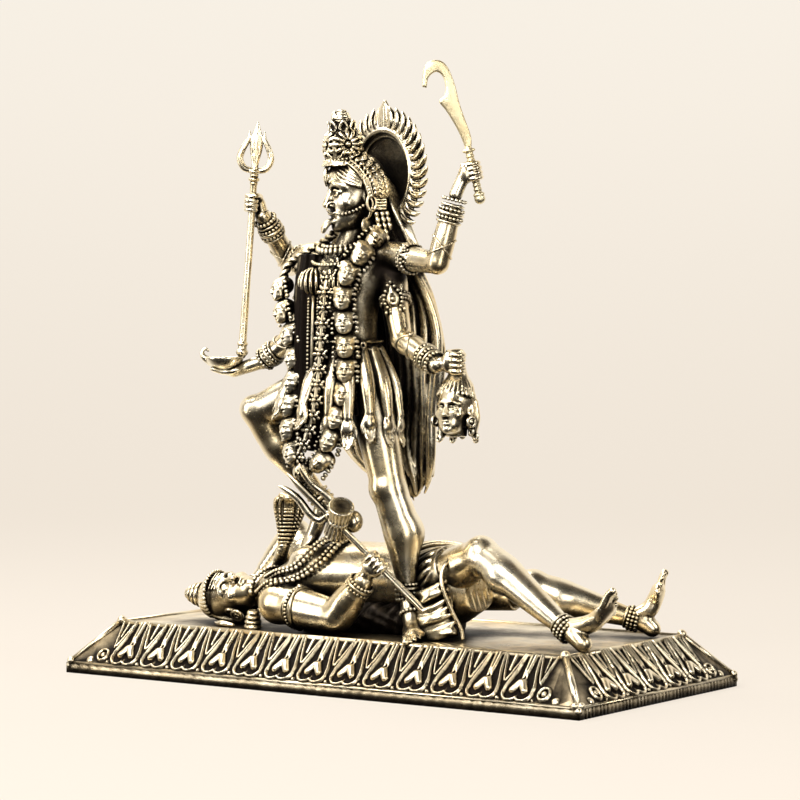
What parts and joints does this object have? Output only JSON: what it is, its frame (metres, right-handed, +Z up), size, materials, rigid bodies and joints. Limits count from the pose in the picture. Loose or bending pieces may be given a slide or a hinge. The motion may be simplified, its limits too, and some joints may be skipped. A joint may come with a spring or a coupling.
{
  "type": "kali figure",
  "caption": "Cast brass figure group: a many-armed goddess with halo, trident, sword and bowl stands on a recumbent man, on an oblong base edged with lotus petals.",
  "frame": {"origin": "middle of the base's underside", "axes": "+X along the base towards the recumbent figure's feet, +Z up; the front of the group, where the goddess' toes point, faces -Y"},
  "size_m": [0.2455, 0.1206, 0.2419],
  "materials": {
    "base_brass": "antiqued, worn",
    "figure_brass": "antiqued, dark in the recesses",
    "halo_brass": "antiqued, dark dish",
    "weapon_brass": "antiqued",
    "sword_brass": "satin, pale"
  },
  "bodies": {
    "root": {"base": "base_brass", "recumbent_figure": "figure_brass", "goddess": "figure_brass", "halo": "halo_brass", "trident": "weapon_brass", "curved_sword": "sword_brass", "drum_staff": "weapon_brass"}
  },
  "joints": []
}
